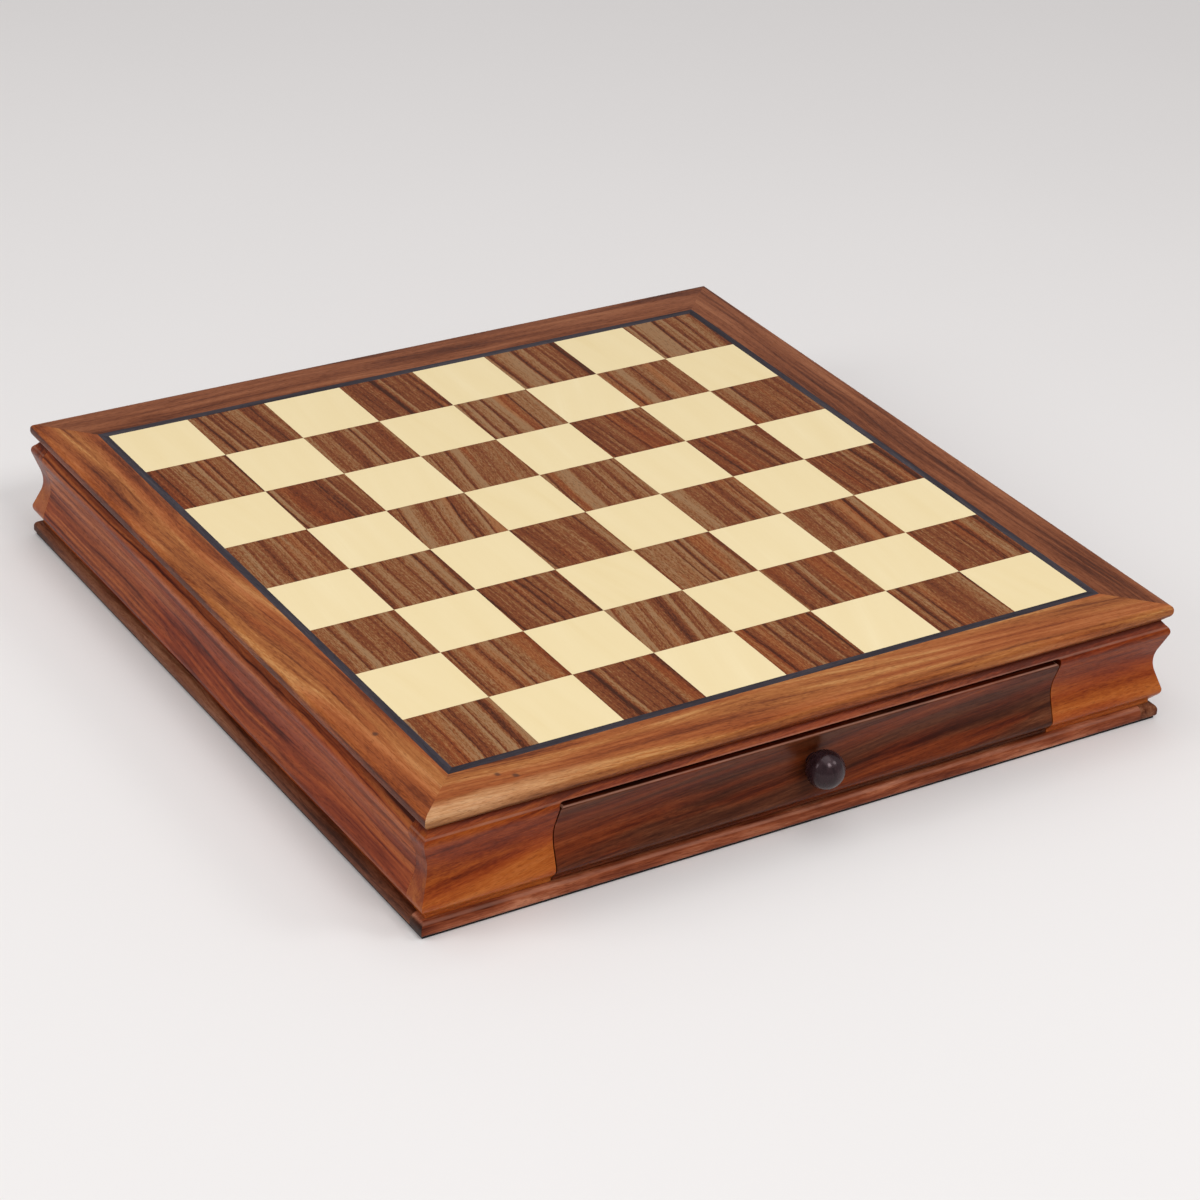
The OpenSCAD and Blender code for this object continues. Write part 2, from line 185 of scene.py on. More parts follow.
def stack(rings, open_rings=0):
    """Closed mesh from rings, bottom to top; a ring is an outer and an inner row of points.
    The middle span stays open up to the ring with the number open_rings."""
    bm = bmesh.new()
    layers = [[[bm.verts.new(p) for p in row] for row in ring] for ring in rings]
    spans = len(rings[0][0]) - 1
    middle = spans // 2

    def cap(layer, span):
        outer, inner = layer
        bm.faces.new((outer[span], outer[span + 1], inner[span + 1], inner[span]))

    for number, (lower, upper) in enumerate(zip(layers, layers[1:])):
        is_open = number < open_rings
        for span in range(spans):
            if is_open and span == middle:
                continue
            for row in (0, 1):
                a, b = lower[row], upper[row]
                bm.faces.new((a[span], a[span + 1], b[span + 1], b[span]))
        walls = {0, spans} | ({middle, middle + 1} if is_open else set())
        for at in walls:
            bm.faces.new((lower[0][at], lower[1][at], upper[1][at], upper[0][at]))
    for span in range(spans):
        if not (open_rings and span == middle):
            cap(layers[0], span)
        cap(layers[-1], span)
    if open_rings:
        cap(layers[open_rings], middle)
    bmesh.ops.remove_doubles(bm, verts=bm.verts, dist=WELD)
    return bm


def through_apron():
    """Front board: it runs through to both corners, and the drawer's opening is cut from it."""
    profile = apron_profile()
    z_opening = Z_PANEL - OPENING_TOP
    corner = arc((OPENING - OPENING_CORNER, z_opening - OPENING_CORNER), OPENING_CORNER, 0, 90, 6)
    heights = sorted({round(z, 7) for _, z in profile + corner})
    rings = []
    for z in heights:
        out = outward_at(profile, z)
        up = max(0.0, min(OPENING_CORNER, z - z_opening + OPENING_CORNER))
        half = OPENING - OPENING_CORNER + math.sqrt(OPENING_CORNER**2 - up**2)
        columns = (-out, -half, half, out)
        rings.append(([(x, -out, z) for x in columns], [(x, -APRON_IN, z) for x in columns]))
    return stack(rings, heights.index(round(z_opening, 7)))


def side_apron():
    """Side board: a square length between the front and the back board."""
    ends = (-APRON_IN, APRON_IN)
    return stack([([(x, -out, z) for x in ends], [(x, -APRON_IN, z) for x in ends])
                  for out, z in apron_profile()])


def drawer_face():
    """Drawer front: a length of the moulding with its upper corners rounded off."""
    rings = []
    for out, z in face_profile():
        up = max(0.0, z - Z_FACE + FACE_CORNER)
        half = FACE_HALF - FACE_CORNER + math.sqrt(FACE_CORNER**2 - up**2)
        rings.append(([(-half, -out, z), (half, -out, z)], [(-half, -APRON_IN, z), (half, -APRON_IN, z)]))
    return stack(rings)


def top_rail():
    """Mitred rail of the top frame, rebated underneath for the panel."""
    profile = rail_profile()
    heights = [(out, z, RAIL_IN + REBATE) for out, z in profile if z < Z_TILE]
    at_step = outward_at(profile, Z_TILE)
    heights += [(at_step, Z_TILE, RAIL_IN + REBATE), (at_step, Z_TILE, RAIL_IN)]
    heights += [(out, z, RAIL_IN) for out, z in profile if z > Z_TILE]
    return stack([([(-out, -out, z), (out, -out, z)], [(-inner, -inner, z), (inner, -inner, z)])
                  for out, z, inner in heights])


def base_edge():
    """Edging strip: it runs through at one corner and butts at the other."""
    return stack([([(-out, -out, z), (BOARD, -out, z)], [(-out, -BOARD, z), (BOARD, -BOARD, z)])
                  for out, z in base_profile()])


def slab(low, high):
    """Plain block between two corners."""
    bm = bmesh.new()
    size = Vector(high) - Vector(low)
    middle = (Vector(high) + Vector(low)) / 2
    bmesh.ops.create_cube(bm, size=1, matrix=Matrix.Translation(middle) @ Matrix.Diagonal((*size, 1)))
    return bm


def band(low, high, thickness):
    """Upright band on a rectangular plan, open above and below."""
    bm = bmesh.new()
    rows = []
    for inset, z in ((0, low.z), (0, high.z), (thickness, high.z), (thickness, low.z)):
        x0, y0, x1, y1 = low.x + inset, low.y + inset, high.x - inset, high.y - inset
        rows.append([bm.verts.new((x, y, z)) for x, y in ((x0, y0), (x1, y0), (x1, y1), (x0, y1))])
    for row, following in zip(rows, rows[1:] + rows[:1]):
        for i in range(4):
            after = (i + 1) % 4
            bm.faces.new((row[i], row[after], following[after], following[i]))
    return bm


def add_plate(bm, outline, axis, start, end):
    """Flat piece on edge: an upright outline (along, height), with its thickness along X or Y."""
    rows = [[bm.verts.new((at, along, z) if axis == "x" else (along, at, z)) for along, z in outline]
            for at in (start, end)]
    for row in rows:
        bm.faces.new(row)
    for i in range(len(outline)):
        after = (i + 1) % len(outline)
        bm.faces.new((rows[0][i], rows[0][after], rows[1][after], rows[1][i]))


def add_bevel(obj, width, segments):
    bevel = obj.modifiers.new("arris", "BEVEL")
    bevel.width = width
    bevel.segments = segments
    bevel.limit_method = "ANGLE"
    bevel.angle_limit = math.radians(SHARP)
    bevel.harden_normals = True
    bevel.miter_outer = "MITER_ARC"


def stand_for(name, bm, node, material, arris, turn=0, segments=2):
    """Makes a piece of a mesh; it replaces a CAD node and rides on that node's body."""
    turned = Matrix.Rotation(math.radians(turn), 3, "Z")
    bmesh.ops.rotate(bm, verts=bm.verts, cent=(0, 0, 0), matrix=turned)
    bmesh.ops.recalc_face_normals(bm, faces=bm.faces)
    mesh = bpy.data.meshes.new(name)
    bm.to_mesh(mesh)
    bm.free()
    mesh.shade_smooth()
    mesh.set_sharp_from_angle(angle=math.radians(SHARP))
    mesh.materials.append(material)
    obj = bpy.data.objects.new(name, mesh)
    bpy.context.scene.collection.objects.link(obj)
    add_bevel(obj, arris, segments)
    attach(obj, NODES[node]["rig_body"])
    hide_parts(node)
    return obj


def dress(node, material):
    """Gives a CAD node its finish."""
    slots = NODES[node].material_slots
    if slots:
        slots[0].material = material
    else:
        NODES[node].data.materials.append(material)


# ---------------------------------------------------------------- materials


def linear(colour):
    """A colour written as 0 to 255 in sRGB, as the linear values that shaders take."""
    parts = [c / 255 for c in colour]
    return [*(c / 12.92 if c <= 0.04045 else ((c + 0.055) / 1.055) ** 2.4 for c in parts), 1]


class Graph:
    """The node tree of one material. Each method adds a node and returns its output."""

    def __init__(self, name):
        self.material = bpy.data.materials.new(name)
        self.material.use_nodes = True
        self.tree = self.material.node_tree
        self.shader = self.tree.nodes["Principled BSDF"]

    def put(self, socket, value):
        if isinstance(value, bpy.types.NodeSocket):
            self.tree.links.new(value, socket)
        else:
            socket.default_value = value

    def node(self, kind, *values, out=0, **settings):
        made = self.tree.nodes.new("ShaderNode" + kind)
        for key, value in settings.items():
            setattr(made, key, value)
        for socket, value in zip(made.inputs, values):
            if value is not None:
                self.put(socket, value)
        return made.outputs[out]

    def math(self, operation, *values):
        return self.node("Math", *values, operation=operation)

    def add(self, *values):
        total = values[0]
        for value in values[1:]:
            total = self.math("ADD", total, value)
        return total

    def times(self, a, b):
        return self.math("MULTIPLY", a, b)

    def around_zero(self, value, reach):
        """Shifts a noise from 0..1 to -reach..reach."""
        return self.math("MULTIPLY_ADD", value, 2 * reach, -reach)

    def xyz(self, x, y, z):
        return self.node("CombineXYZ", x, y, z)

    def split(self, vector):
        made = self.tree.nodes.new("ShaderNodeSeparateXYZ")
        self.put(made.inputs[0], vector)
        return list(made.outputs)

    def noise(self, vector, detail=2, roughness=0.5):
        return self.node("TexNoise", vector, None, 1.0, detail, roughness)

    def noise_line(self, value):
        return self.node("TexNoise", None, value, 1.0, 1, 0.5, noise_dimensions="1D")

    def stretched(self, space, along, across, detail):
        """Noise drawn out along the grain; sizes are in millimetres."""
        u, v, w = space
        vector = self.xyz(self.times(u, 1 / along), self.times(v, 1 / across), self.times(w, 1 / across))
        return self.noise(vector, detail)

    def remap(self, value, low, high, to_low=0.0, to_high=1.0, smooth=False):
        kind = "SMOOTHSTEP" if smooth else "LINEAR"
        return self.node("MapRange", value, low, high, to_low, to_high, interpolation_type=kind)

    def ramp(self, value, colours, places=None):
        made = self.tree.nodes.new("ShaderNodeValToRGB")
        self.put(made.inputs[0], value)
        stops = made.color_ramp.elements
        places = places or [i / (len(colours) - 1) for i in range(len(colours))]
        while len(stops) < len(colours):
            stops.new(0.5)
        for stop, place, colour in zip(stops, places, colours):
            stop.position = place
            stop.color = linear(colour)
        return made.outputs[0]

    def blend(self, factor, a, b, kind="MIX"):
        made = self.tree.nodes.new("ShaderNodeMix")
        made.data_type = "RGBA"
        made.blend_type = kind
        self.put(made.inputs["Factor"], factor)
        for socket, value in zip((made.inputs[6], made.inputs[7]), (a, b)):
            self.put(socket, value if isinstance(value, bpy.types.NodeSocket) else linear(value))
        return made.outputs[2]

    def place(self):
        """The point in millimetres, in the box's own frame."""
        source = self.node("TexCoord", out=3)
        return self.split(self.node("VectorMath", source, (1 / MM,) * 3, operation="MULTIPLY"))

    def bump(self, height, distance, strength):
        made = self.tree.nodes.new("ShaderNodeBump")
        made.inputs["Strength"].default_value = strength
        made.inputs["Distance"].default_value = distance
        self.put(made.inputs["Height"], height)
        return made.outputs[0]

    def finish(self, colour, roughness, normal=None, **constants):
        self.put(self.shader.inputs["Base Color"], colour)
        self.put(self.shader.inputs["Roughness"], roughness)
        if normal is not None:
            self.put(self.shader.inputs["Normal"], normal)
        for name, value in constants.items():
            self.shader.inputs[name.replace("_", " ")].default_value = value
        return self.material


# Short ripple of the fibres: length, width, reach
RIPPLE = (34, 14, 0.9)
# Layers of a figure: along the grain, across it, strength
BOARD_FIGURE = ((170, 11, 0.75), (110, 3.2, 0.5), (30, 1.2, 0.3), (4, 0.5, 0.3))
LONG_FIGURE = ((500, 9, 0.4), (600, 3.0, 0.8), (400, 1.3, 0.4), (6, 0.5, 0.2))
CUT_FIGURE = ((170, 16, 0.45), (110, 5, 0.35), (40, 1.4, 0.3), (4, 0.5, 0.3))
RAIL_FIGURE = ((150, 26, 0.6), (120, 9, 0.55), (110, 3.2, 0.45), (30, 1.2, 0.3), (4, 0.5, 0.3))
TILE_FIGURE = ((300, 8, 0.15), (220, 2.6, 0.45), (60, 1.0, 0.3), (2.2, 0.5, 0.55))
PALE_FIGURE = ((90, 12, 0.4), (40, 2, 0.1))
FACE_FIGURE = ((260, 12, 0.35), (160, 4, 0.5), (60, 1.4, 0.4), (6, 0.45, 0.25))
BASE_FIGURE = ((34, 10, 0.7), (70, 2.6, 0.4), (8, 0.6, 0.3))

# Tones from the darkest to the lightest
SQUARE_TONES = [(60, 27, 12), (86, 41, 20), (110, 54, 26), (125, 68, 35), (143, 97, 58), (152, 115, 80)]
SQUARE_RED = [(62, 24, 10), (90, 38, 14), (116, 52, 20), (132, 64, 28), (144, 82, 40), (156, 100, 58)]
MAPLE_TONES = [(234, 212, 160), (238, 218, 170), (240, 221, 175), (244, 227, 184)]
RAIL_TONES = [(78, 34, 12), (120, 62, 28), (152, 88, 42), (170, 106, 54), (190, 134, 80)]
RAIL_RED = [(70, 24, 6), (110, 48, 18), (142, 70, 30), (158, 84, 40), (174, 100, 54)]
RAIL_DARK = [(64, 26, 8), (96, 46, 20), (122, 66, 36), (138, 80, 48), (154, 96, 62)]
SAP_TONES = [(116, 80, 52), (172, 118, 72), (198, 148, 102), (214, 170, 128)]
APRON_TONES = [(88, 30, 6), (128, 52, 12), (154, 74, 22), (172, 90, 32), (186, 106, 46)]
APRON_RED = [(78, 20, 2), (114, 38, 8), (140, 56, 16), (156, 70, 24), (174, 88, 36)]
APRON_DARK = [(62, 22, 10), (96, 40, 20), (130, 62, 32), (152, 78, 38), (172, 96, 50)]
APRON_PLUM = [(56, 14, 6), (92, 28, 12), (124, 48, 22), (144, 62, 28), (162, 78, 38)]
ROSEWOOD_TONES = [(36, 12, 4), (60, 26, 12), (80, 40, 22), (96, 52, 30), (114, 68, 44)]
ROSEWOOD_RED = [(58, 12, 2), (84, 26, 6), (108, 42, 12), (124, 52, 18), (140, 66, 28)]
BASE_TONES = [(74, 28, 14), (110, 50, 28), (140, 72, 44), (164, 96, 66), (190, 124, 92)]
BASE_DARK = [(52, 22, 10), (80, 40, 22), (106, 58, 36), (122, 74, 48), (138, 90, 64)]
INLAY_TONES = [(34, 29, 34), (48, 43, 49), (58, 53, 59), (72, 67, 72)]
KNOB_TONES = [(24, 12, 14), (34, 20, 24), (44, 28, 32), (58, 40, 44)]
PLY_TONES = [(150, 112, 72), (176, 138, 92), (196, 160, 112), (212, 180, 134)]
CARCASS_TONES = [(120, 80, 50), (148, 104, 66), (168, 122, 80), (186, 142, 98)]
DRAWER_TONES = [(116, 72, 44), (140, 90, 56), (158, 106, 68), (176, 124, 84)]
# Pale pinkish colour painted along arrises as a highlight
PAINTED_HIGHLIGHT_TONE = (176, 128, 108)
KNOT_TONE = (66, 44, 36)
# Colour of the sheen on the stained and lacquered woods
WARM_SHEEN = (255, 196, 178)

# How far apart, in millimetres, boards and tiles lie in the timber that they are cut from
BOARD_STEP = 731.0
TILE_STEP_ALONG = 4000.0
TILE_STEP_ACROSS = 900.0
# How much the tone of a tile may differ from the next
OWN_TONE = 0.12
# Growth rings: how their width wanders, where the dark edge starts, its line in the next ring (share of
# a ring, depth), and the faintest ring
RING_WANDER = (0.6, 0.8)
RING_EDGE = 0.82
RING_LINE = (0.3, 0.7)
FAINTEST_RING = 0.1
# Second hue: length and width of its clouds, and its most
TINT_CLOUD = (190, 13)
TINT_MOST = 0.85
# Ragged edge of the sap streak and of a pin knot: length, width, reach; a knot's core and rim
SAP_EDGE = (30, 7, 5.0)
KNOT_EDGE = (4, 2, 1.1)
KNOT_SIZE = (0.7, 2.4)
# Pores: length and width, the levels of noise between which one opens, and their depth
PORE_SIZE = (4.5, 0.5)
PORE_LEVELS = (0.56, 0.68)
PORE_DEPTH = 0.02 * MM
# Length and width of the patches in which the painted highlight along arrises comes and goes, and in which
# the lacquer is duller
HIGHLIGHT_PATCH = (25, 6)
DULL_PATCH = (40, 6)
# Felt: how often, per millimetre, its clouds, its nap and its single fibres repeat, and its relief
FELT_CLOUDS = 0.09
FELT_NAP = 2.6
FELT_FIBRES = 1.1
FELT_RELIEF = 0.25 * MM
# Metal: how often, per millimetre, its tool marks (along X, Y, Z) and its stains repeat, and its relief
TOOL_MARKS = (0.8, 9.0, 0.8)
STAINS = 0.35
METAL_RELIEF = 0.02 * MM


def bent(g, u, v, w, bend):
    """Bends the grain: every layer of the figure follows the same wander and the same short ripple.
    bend is the wander's length, width and reach."""
    for length, width, reach in (bend, RIPPLE):
        at = g.xyz(g.times(u, 1 / length), g.times(v, 1 / width), g.times(w, 1 / width))
        across = g.split(g.node("TexNoise", at, None, 1.0, 1.0, 0.5, out=1))
        v = g.add(v, g.around_zero(across[0], reach))
        w = g.add(w, g.around_zero(across[1], reach))
    return u, v, w


def board_space(g, grain, seed, slope):
    """Along and across the grain of one board, moved by its seed to its own stretch of timber."""
    x, y, z = g.place()
    u, v, w = {"x": (x, y, z), "y": (y, x, z), "z": (z, x, y)}[grain]
    return (g.add(u, BOARD_STEP * seed), g.add(v, g.times(u, slope[0])), g.add(w, g.times(u, slope[1]))), 0.5


def tile_space(g, grain, seed, slope):
    """As board_space, but each square of the field has its own piece of timber, its own lean and tone."""
    x, y, z = g.place()
    side = SQUARE / MM
    column = g.math("FLOOR", g.times(x, 1 / side))
    row = g.math("FLOOR", g.times(y, 1 / side))
    made = g.tree.nodes.new("ShaderNodeTexWhiteNoise")
    g.put(made.inputs[0], g.xyz(column, row, float(seed)))
    tone, chance = made.outputs
    first, second, third = g.split(chance)
    swing = g.around_zero(first, 1.0)
    lean = g.times(g.math("POWER", g.math("ABSOLUTE", swing), 7.0), slope[1])
    lean = g.add(g.times(lean, g.math("SIGN", swing)), g.times(swing, slope[0]))
    local_x = g.math("SUBTRACT", x, g.times(g.add(column, 0.5), side))
    local_y = g.math("SUBTRACT", y, g.times(g.add(row, 0.5), side))
    u = g.add(local_y, g.times(second, TILE_STEP_ALONG))
    v = g.math("SUBTRACT", local_x, g.times(local_y, lean))
    return (u, g.add(v, g.times(third, TILE_STEP_ACROSS)), z), tone


def growth(g, area, ring, lie, seed):
    """Growth rings cut by the surface: a tone that rises across each ring and drops at its dark edge.
    lie says how much the rings are stacked across the board and how much upward."""
    _, v, w = area
    rings = g.add(g.times(v, lie[0] / ring), g.times(w, lie[1] / ring))
    rings = g.add(rings, g.around_zero(g.noise_line(g.times(rings, RING_WANDER[0])), RING_WANDER[1]))
    phase = g.math("FRACT", rings)
    number = g.add(g.math("FLOOR", rings), float(seed))
    strength = g.node("TexWhiteNoise", None, number, noise_dimensions="1D")
    rise = g.times(phase, g.remap(phase, RING_EDGE, 1.0, 1.0, 0.0, smooth=True))
    line = g.remap(phase, 0.0, *RING_LINE, 0.0, smooth=True)
    return g.times(g.math("SUBTRACT", rise, line), g.remap(strength, 0.0, 1.0, FAINTEST_RING, 1.0))


def apart(g, a, b):
    """Length of the step with the legs a and b."""
    return g.math("SQRT", g.add(g.times(a, a), g.times(b, b)))


def wood(name, palette, grain, seed, figure=BOARD_FIGURE, bend=(260, 70, 14.0), ring=8.0, lie=(1.0, 0.4),
         rings=0.3, pores=0.35, tint=None, drift=(0.4, 0.6), shade=0.0, painted_light_and_shade=(), painted_highlights=(), dip=None,
         slope=(0.0, 0.0), end=0.85, spots=(), sap=None, space=board_space, rough=0.42, gloss=0.25,
         sheen=WARM_SHEEN):
    """Lacquered timber as a solid: bands, streaks, growth rings, pores and end grain.
    palette runs from the darkest to the lightest tone, and shade moves the tone along it;
    tint is a second hue that drifts in where a slow noise lies between the two values of drift;
    figure is a row of layers (along, across, strength); spots are pin knots (x, y);
    painted_light_and_shade are shifts of the tone between two heights (from, to, shift), which paint
    shade under overhangs and light or shade on faces by how they face the lamps;
    painted_highlights are pale lines painted along arrises as highlights (height, reach, amount);
    dip bends the low lines down round a place along the board (place, half width, reach);
    end darkens the end grain; sap is a pale streak (from, to, across, height, width)."""
    g = Graph(name)
    x, y, z = g.place()
    (u, v, w), own_tone = space(g, grain, seed, slope)
    if dip:
        off = g.times(g.add(x if grain == "x" else y, -dip[0]), 1 / dip[1])
        bell = g.math("DIVIDE", 1.0, g.add(g.times(off, off), 1.0))
        w = g.add(w, g.times(bell, g.remap(z, Z_CASE / MM, Z_PANEL / MM, dip[2], 0.0)))
    area = bent(g, u, v, w, bend)
    tone = g.times(growth(g, area, ring, lie, seed), rings)
    tone = g.add(tone, g.around_zero(own_tone, OWN_TONE), 0.5 + shade)
    for along, across, strength in figure:
        tone = g.add(tone, g.around_zero(g.stretched(area, along, across, 1), strength))
    # Painted light and shade: the tone is raised or lowered between two heights, such as shade under an
    # overhang
    for start, stop, shift in painted_light_and_shade:
        tone = g.add(tone, g.remap(z, start, stop, 0.0, shift, smooth=True))
    colour = g.ramp(tone, palette)
    if tint:
        amount = g.remap(g.stretched(area, *TINT_CLOUD, 2), *drift, 0.0, TINT_MOST, smooth=True)
        colour = g.blend(amount, colour, g.ramp(tone, tint))
    if sap:
        start, stop, across, height, width = sap
        along, over = (x, y) if grain == "x" else (y, x)
        off = apart(g, g.add(over, -across), g.add(z, -height))
        off = g.add(off, g.around_zero(g.stretched(area, *SAP_EDGE[:2], 3), SAP_EDGE[2]))
        amount = g.times(g.remap(off, 0.35 * width, width, 1.0, 0.0, smooth=True),
                         g.remap(along, start, stop, 0.9, 0.0, smooth=True))
        colour = g.blend(amount, colour, g.ramp(tone, SAP_TONES))
    pore = g.remap(g.stretched(area, *PORE_SIZE, 1), *PORE_LEVELS, 0.0, 1.0, smooth=True)
    colour = g.blend(g.times(pore, pores), colour, palette[0])
    for spot in spots:
        off = g.add(apart(g, g.add(x, -spot[0]), g.add(y, -spot[1])),
                    g.around_zero(g.stretched(area, *KNOT_EDGE[:2], 2), KNOT_EDGE[2]))
        colour = g.blend(g.remap(off, *KNOT_SIZE, 0.75, 0.0, smooth=True), colour, KNOT_TONE)
    # Painted highlights: pale lines along arrises at the given heights, in place of the lamps' reflection
    for height, reach, amount in painted_highlights:
        off = g.math("ABSOLUTE", g.add(z, -height))
        highlight_patchiness = g.remap(g.stretched(area, *HIGHLIGHT_PATCH, 2), 0.3, 0.6, 0.5, 1.0)
        near = g.remap(off, 0.3 * reach, reach, amount, 0.0, smooth=True)
        colour = g.blend(g.times(near, highlight_patchiness), colour, PAINTED_HIGHLIGHT_TONE)
    if end != 1:
        facing = g.math("ABSOLUTE", g.split(g.node("TexCoord", out=1))["xyz".index(grain)])
        cut = g.remap(facing, 0.6, 0.9, 0.0, 1.0, smooth=True)
        colour = g.blend(cut, colour, g.blend(1.0, colour, [255 * end] * 3, "MULTIPLY"))
    dull = g.add(g.times(pore, 0.12), g.around_zero(g.stretched(area, *DULL_PATCH, 2), 0.05), rough)
    return g.finish(colour, dull, g.bump(g.times(pore, -1.0), PORE_DEPTH, 0.4),
                    Specular_IOR_Level=gloss, Specular_Tint=linear(sheen))


def felt(name, dark, light, sheen):
    """Pressed wool: cloudy tone, single fibres and a soft nap."""
    g = Graph(name)
    x, y, z = g.place()
    point = g.xyz(x, y, z)
    cloud = g.noise(g.node("VectorMath", point, (FELT_CLOUDS,) * 3, operation="MULTIPLY"), 3)
    nap = g.noise(g.node("VectorMath", point, (FELT_NAP,) * 3, operation="MULTIPLY"), 4, 0.65)
    hairs = g.node("TexNoise", point, None, FELT_FIBRES, 3, 0.6, None, None, None, 2.5)
    tone = g.add(g.times(cloud, 0.45), g.times(nap, 0.75), g.times(hairs, 0.4), -0.3)
    height = g.add(nap, g.times(hairs, 0.6))
    return g.finish(g.ramp(tone, [dark, light]), 0.95, g.bump(height, FELT_RELIEF, 0.6),
                    Sheen_Weight=sheen, Sheen_Roughness=0.5, Specular_IOR_Level=0.2)


def metal(name, dark, light, rough):
    """Turned metal with fine tool marks."""
    g = Graph(name)
    x, y, z = g.place()
    marks = g.noise(g.xyz(*(g.times(at, often) for at, often in zip((x, y, z), TOOL_MARKS))), 3)
    stain = g.noise(g.xyz(*(g.times(at, STAINS) for at in (x, y, z))), 2)
    tone = g.add(g.times(marks, 0.5), g.times(stain, 0.5))
    return g.finish(g.ramp(tone, [dark, light], [0.3, 0.7]), g.add(g.around_zero(marks, 0.08), rough),
                    g.bump(marks, METAL_RELIEF, 0.5), Metallic=1.0)


# ---------------------------------------------------------------- the box, piece by piece

# Seeds: each board comes from its own stretch of timber
BASE_SEED, INLAY_SEED, PANEL_SEED, CARCASS_SEED, DRAWER_SEED = 14, 20, 30, 31, 40
SEEDS_PER_DRAWER = 10


def build_frame():
    finishes = {
        # The front rail is darker down its nose and darker still under it: painted shade on the nose and
        # under the overhang
        "front": wood("rail_wood_front", RAIL_TONES, "x", 3, figure=RAIL_FIGURE, tint=RAIL_RED, shade=0.08,
                      painted_light_and_shade=((70.9, 69.4, -0.1), (67.5, 64.5, -0.35)), slope=(0.05, 0.0),
                      spots=((-183.1, -215.4), (-175.7, -220.3)), sap=(-235.0, -110.0, -232.0, 69.0, 9.0)),
        # The left rail is darker down its nose: painted shade on the nose
        "left": wood("rail_wood_left", RAIL_TONES, "y", 5, figure=RAIL_FIGURE, tint=RAIL_RED, shade=0.03,
                     painted_light_and_shade=((70.9, 69.4, -0.5),), slope=(0.03, 0.0), spots=((-218.6, -155.6),)),
        "back": wood("rail_wood_back", RAIL_DARK, "x", 8),
        "right": wood("rail_wood_right", RAIL_DARK, "y", 11),
    }
    for side, turn in TURN.items():
        stand_for(f"top_rail_{side}_wood", top_rail(), f"top_rail_{side}", finishes[side], RAIL_ARRIS, turn)


def build_aprons():
    # Side boards are lighter from 30 to 50 mm up, painted light on the upper cove, and darker from 58.5 mm
    # up, painted shade under the rail's overhang
    long_board = dict(figure=LONG_FIGURE, tint=APRON_PLUM, lie=(0.2, 1.0), ring=5.0, rings=0.45,
                      bend=(300, 160, 8.0), painted_light_and_shade=((30, 50, 0.12), (58.5, 60.0, -0.35)), rough=0.32,
                      gloss=0.13)
    # Front and back boards: darker from 18 to 40 mm up, painted shade on the upper cove; darker from 59.4 mm
    # up, painted shade under the rail; a pale line at 58.1 mm painted as a highlight along the bead and the
    # opening's upper edge
    cut_board = dict(figure=CUT_FIGURE, tint=APRON_RED, lie=(0.3, 1.0), ring=12.0, rings=0.2, shade=0.28,
                     painted_highlights=((58.1, 0.7, 0.4),), painted_light_and_shade=((18, 40, -0.45), (59.4, 61.2, -0.35)), end=0.9,
                     rough=0.3, gloss=0.25)
    finishes = {
        "front": wood("apron_wood_front", APRON_TONES, "x", 2, slope=(-0.08, -0.06), **cut_board),
        "back": wood("apron_wood_back", APRON_TONES, "x", 9, slope=(0.0, 0.04), **cut_board),
        "left": wood("apron_wood_left", APRON_DARK, "y", 4, dip=(-50, 110, 15), **long_board),
        "right": wood("apron_wood_right", APRON_DARK, "y", 7, dip=(60, 130, 12), **long_board),
    }
    for side, turn in TURN.items():
        make, arris = (through_apron, CUT_APRON_ARRIS) if side in DRAWERS else (side_apron, SIDE_APRON_ARRIS)
        stand_for(f"apron_{side}_wood", make(), f"apron_{side}", finishes[side], arris, turn)


def build_base():
    for seed, (side, turn) in enumerate(TURN.items(), BASE_SEED):
        if side in DRAWERS:
            # Front and back edgings: a pale line painted along the upper round as a highlight
            finish = wood("base_wood_" + side, BASE_TONES, "x", seed, figure=BASE_FIGURE, gloss=0.18,
                          rough=0.32, painted_highlights=((8.3, 0.9, 0.3),), end=0.4)
        else:
            finish = wood("base_wood_" + side, BASE_DARK, "y", seed, gloss=0.15, end=1)
        stand_for(f"base_edge_{side}_wood", base_edge(), f"base_edge_{side}", finish, BASE_ARRIS, turn)
    low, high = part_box("base_felt")
    cloth = felt("black_felt", (16, 16, 18), (44, 44, 47), 0.15)
    obj = stand_for("base_felt_cloth", slab(low, high), "base_felt", cloth, PAD_ARRIS)


def build_board():
    tile = dict(space=tile_space, rough=0.5, end=1)
    dress("dark_squares", wood("square_wood_dark", SQUARE_TONES, "y", 6, figure=TILE_FIGURE, ring=10.0,
                               rings=0.75, bend=(160, 60, 3.0), tint=SQUARE_RED, drift=(0.52, 0.66),
                               slope=(0.05, 0.12), gloss=0.2, **tile))
    dress("light_squares", wood("square_wood_light", MAPLE_TONES, "y", 12, figure=PALE_FIGURE, rings=0.04,
                                pores=0.0, slope=(0.1, 0.3), gloss=0.15, sheen=(255, 255, 255), **tile))
    for seed, side in enumerate(TURN, INLAY_SEED):
        grain = "x" if side in DRAWERS else "y"
        dress(f"inlay_{side}", wood("inlay_wood_" + side, INLAY_TONES, grain, seed, gloss=0.15, rough=0.5,
                                    sheen=(255, 240, 255), end=1))


def build_carcass():
    panel = wood("panel_wood", PLY_TONES, "x", PANEL_SEED, rough=0.6)
    carcass = {grain: wood("carcass_wood_" + grain, CARCASS_TONES, grain, CARCASS_SEED, rough=0.6)
               for grain in "xyz"}
    for node in ("top_panel", "base_board"):
        dress(node, panel)
    for node in NODES:
        if node.startswith("bay_wall"):
            dress(node, carcass["y"])
        elif node.startswith("corner_block"):
            dress(node, carcass["z"])
    dress("centre_partition", carcass["x"])
    dress("base_screws", metal("brass", (150, 112, 52), (206, 168, 88), 0.32))


